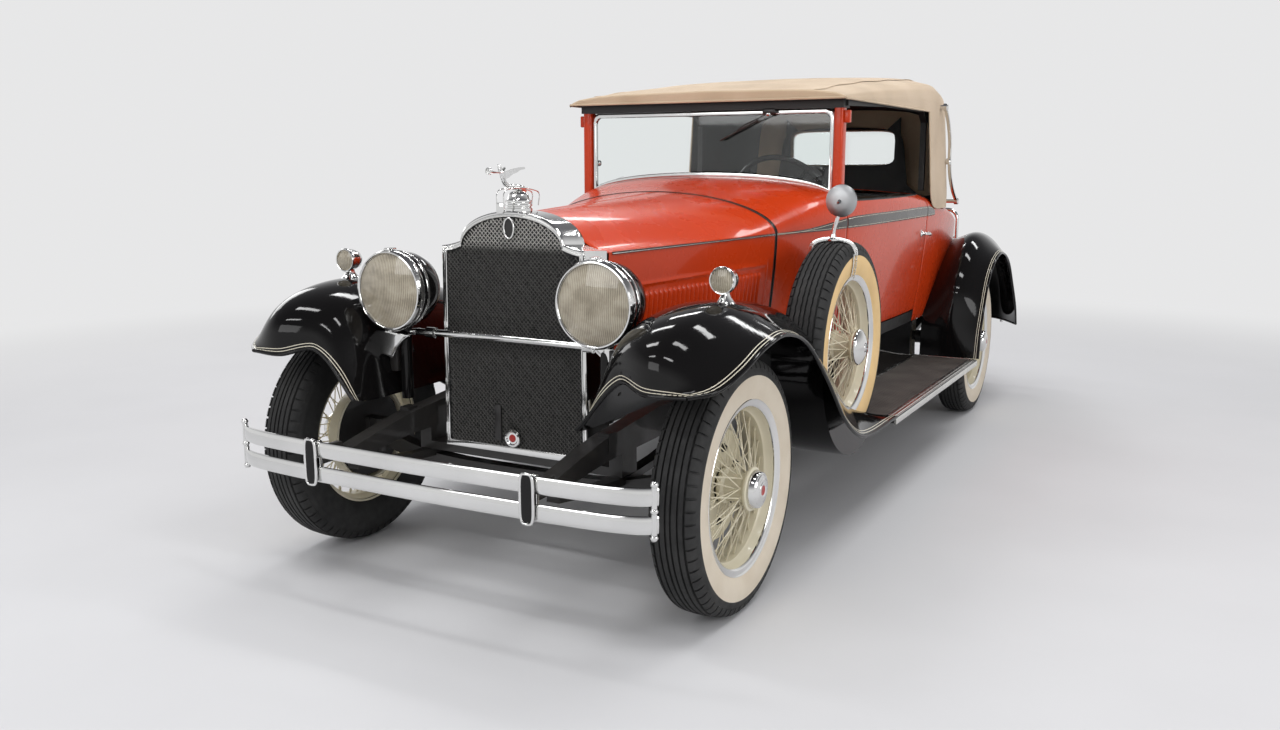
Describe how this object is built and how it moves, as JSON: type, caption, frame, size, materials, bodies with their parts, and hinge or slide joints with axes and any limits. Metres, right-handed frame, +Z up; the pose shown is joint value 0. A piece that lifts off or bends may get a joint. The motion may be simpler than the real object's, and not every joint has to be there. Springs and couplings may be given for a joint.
{
  "type": "convertible coupe",
  "caption": "Two-door convertible coupe of about 1930 with soft top up, opening hood, doors and rear lid, wire wheels, side-mounted spare wheels and a folding luggage rack",
  "frame": {"origin": "centre of the footprint box, on the ground plane", "axes": "+X to the car's left side, -Y forwards, +Z up"},
  "size_m": [1.9222, 5.0804, 1.8837],
  "materials": {
    "body_paint": "gloss vermilion enamel, lightly worn",
    "fender_paint": "deep gloss black enamel",
    "chassis_paint": "satin black chassis paint",
    "chrome": "bright plated",
    "tyre": "black tread with wide off-white side walls",
    "wheel_paint": "cream enamel on wire wheels",
    "canvas": "tan canvas top cloth",
    "leather": "dark brown hide",
    "board_mat": "ribbed rubber mat with bright edge strips",
    "windshield_glass": "clear flat glass",
    "engine_iron": "painted iron",
    "tail_red": "ruby lens in a bright housing"
  },
  "bodies": {
    "body": {"cowl": "body_paint", "rear_body": "body_paint", "floor": "body_paint", "front_fender_left": "fender_paint", "front_fender_right": "fender_paint", "rear_fender_left": "fender_paint", "rear_fender_right": "fender_paint", "frame": "chassis_paint", "front_axle": "chassis_paint", "rear_axle": "chassis_paint", "fuel_tank": "chassis_paint", "radiator_core": "chassis_paint", "top_frame": "chassis_paint", "radiator_shell": "chrome", "radiator_cap": "chrome", "lamp_bar": "chrome", "front_bumper": "chrome", "rear_bumper": "chrome", "windshield_frame": "chrome", "landau_left": "chrome", "landau_right": "chrome", "headlamp_left": "chrome", "headlamp_right": "chrome", "spare_wheel_left": "tyre", "spare_wheel_right": "tyre", "soft_top": "canvas", "seat": "leather", "rumble_seat": "leather", "running_board_left": "board_mat", "running_board_right": "board_mat", "windshield_glass": "windshield_glass", "engine_block": "engine_iron", "tail_lamp": "tail_red"},
    "door_left": {"door_left": "body_paint"},
    "door_right": {"door_right": "body_paint"},
    "rumble_lid": {"rumble_lid": "body_paint"},
    "hood_top_left": {"hood_top_left": "body_paint"},
    "hood_top_right": {"hood_top_right": "body_paint"},
    "hood_side_left": {"hood_side_left": "body_paint"},
    "hood_side_right": {"hood_side_right": "body_paint"},
    "steering_wheel": {"steering_wheel": "chassis_paint"},
    "luggage_rack": {"luggage_rack": "chrome"},
    "knuckle_left": {"knuckle_left": "chassis_paint"},
    "knuckle_right": {"knuckle_right": "chassis_paint"},
    "tie_rod": {"tie_rod": "chassis_paint"},
    "wheel_front_left": {"wheel_front_left": "wheel_paint", "tyre_front_left": "tyre"},
    "wheel_front_right": {"wheel_front_right": "wheel_paint", "tyre_front_right": "tyre"},
    "wheel_rear_left": {"wheel_rear_left": "wheel_paint", "tyre_rear_left": "tyre"},
    "wheel_rear_right": {"wheel_rear_right": "wheel_paint", "tyre_rear_right": "tyre"}
  },
  "joints": [
    {"name": "steer_left", "type": "hinge", "parent": "body", "child": "knuckle_left", "pos_m": [0.655, -1.945, 0.415], "axis": [0, 0, 1], "range_deg": [-30, 30]},
    {"name": "steer_right", "type": "hinge", "parent": "body", "child": "knuckle_right", "pos_m": [-0.655, -1.945, 0.415], "axis": [0, 0, 1], "range_deg": [-30, 30]},
    {"name": "tie_rod_turn", "type": "hinge", "parent": "knuckle_left", "child": "tie_rod", "pos_m": [0.655, -1.775, 0.34], "axis": [0, 0, 1], "range_deg": [-30, 30]},
    {"name": "steering_wheel_turn", "type": "hinge", "parent": "body", "child": "steering_wheel", "pos_m": [0.285, -0.245, 1.275], "axis": [0, 0.848, 0.5299], "range_deg": [-450, 450]},
    {"name": "wheel_front_left_spin", "type": "hinge", "parent": "knuckle_left", "child": "wheel_front_left", "pos_m": [0.78, -1.945, 0.415], "axis": [1, 0, 0], "continuous": true},
    {"name": "wheel_rear_left_spin", "type": "hinge", "parent": "body", "child": "wheel_rear_left", "pos_m": [0.78, 1.445, 0.415], "axis": [1, 0, 0], "continuous": true},
    {"name": "door_left_hinge", "type": "hinge", "parent": "body", "child": "door_left", "pos_m": [0.664, -0.422, 0.9], "axis": [0, 0, -1], "range_deg": [0, 60]},
    {"name": "hood_left_hinge", "type": "hinge", "parent": "body", "child": "hood_top_left", "pos_m": [0, -0.966, 1.31555], "axis": [0, -0.9986, -0.0526], "range_deg": [0, 65]},
    {"name": "hood_side_left_hinge", "type": "hinge", "parent": "hood_top_left", "child": "hood_side_left", "pos_m": [0.52561, -0.966, 1.15593], "axis": [-0.2349, -0.9718, -0.021], "range_deg": [-39, 0]},
    {"name": "wheel_front_right_spin", "type": "hinge", "parent": "knuckle_right", "child": "wheel_front_right", "pos_m": [-0.78, -1.945, 0.415], "axis": [1, 0, 0], "continuous": true},
    {"name": "wheel_rear_right_spin", "type": "hinge", "parent": "body", "child": "wheel_rear_right", "pos_m": [-0.78, 1.445, 0.415], "axis": [1, 0, 0], "continuous": true},
    {"name": "door_right_hinge", "type": "hinge", "parent": "body", "child": "door_right", "pos_m": [-0.664, -0.422, 0.9], "axis": [0, 0, 1], "range_deg": [0, 60]},
    {"name": "hood_right_hinge", "type": "hinge", "parent": "body", "child": "hood_top_right", "pos_m": [0, -0.966, 1.31555], "axis": [0, 0.9986, 0.0526], "range_deg": [0, 65]},
    {"name": "hood_side_right_hinge", "type": "hinge", "parent": "hood_top_right", "child": "hood_side_right", "pos_m": [-0.52561, -0.966, 1.15593], "axis": [-0.2349, 0.9718, 0.021], "range_deg": [-39, 0]},
    {"name": "rumble_lid_hinge", "type": "hinge", "parent": "body", "child": "rumble_lid", "pos_m": [0, 2.135, 0.97903], "axis": [-1, 0, 0], "range_deg": [0, 70]},
    {"name": "luggage_rack_hinge", "type": "hinge", "parent": "body", "child": "luggage_rack", "pos_m": [0, 2.345, 0.62], "axis": [-1, 0, 0], "range_deg": [0, 88]}
  ],
  "couplings": [
    {"joint": "steer_right", "follows": "steer_left", "ratio": 1},
    {"joint": "tie_rod_turn", "follows": "steer_left", "ratio": -1},
    {"joint": "steering_wheel_turn", "follows": "steer_left", "ratio": 15},
    {"joint": "hood_side_left_hinge", "follows": "hood_left_hinge", "ratio": -0.6},
    {"joint": "hood_side_right_hinge", "follows": "hood_right_hinge", "ratio": -0.6}
  ]
}
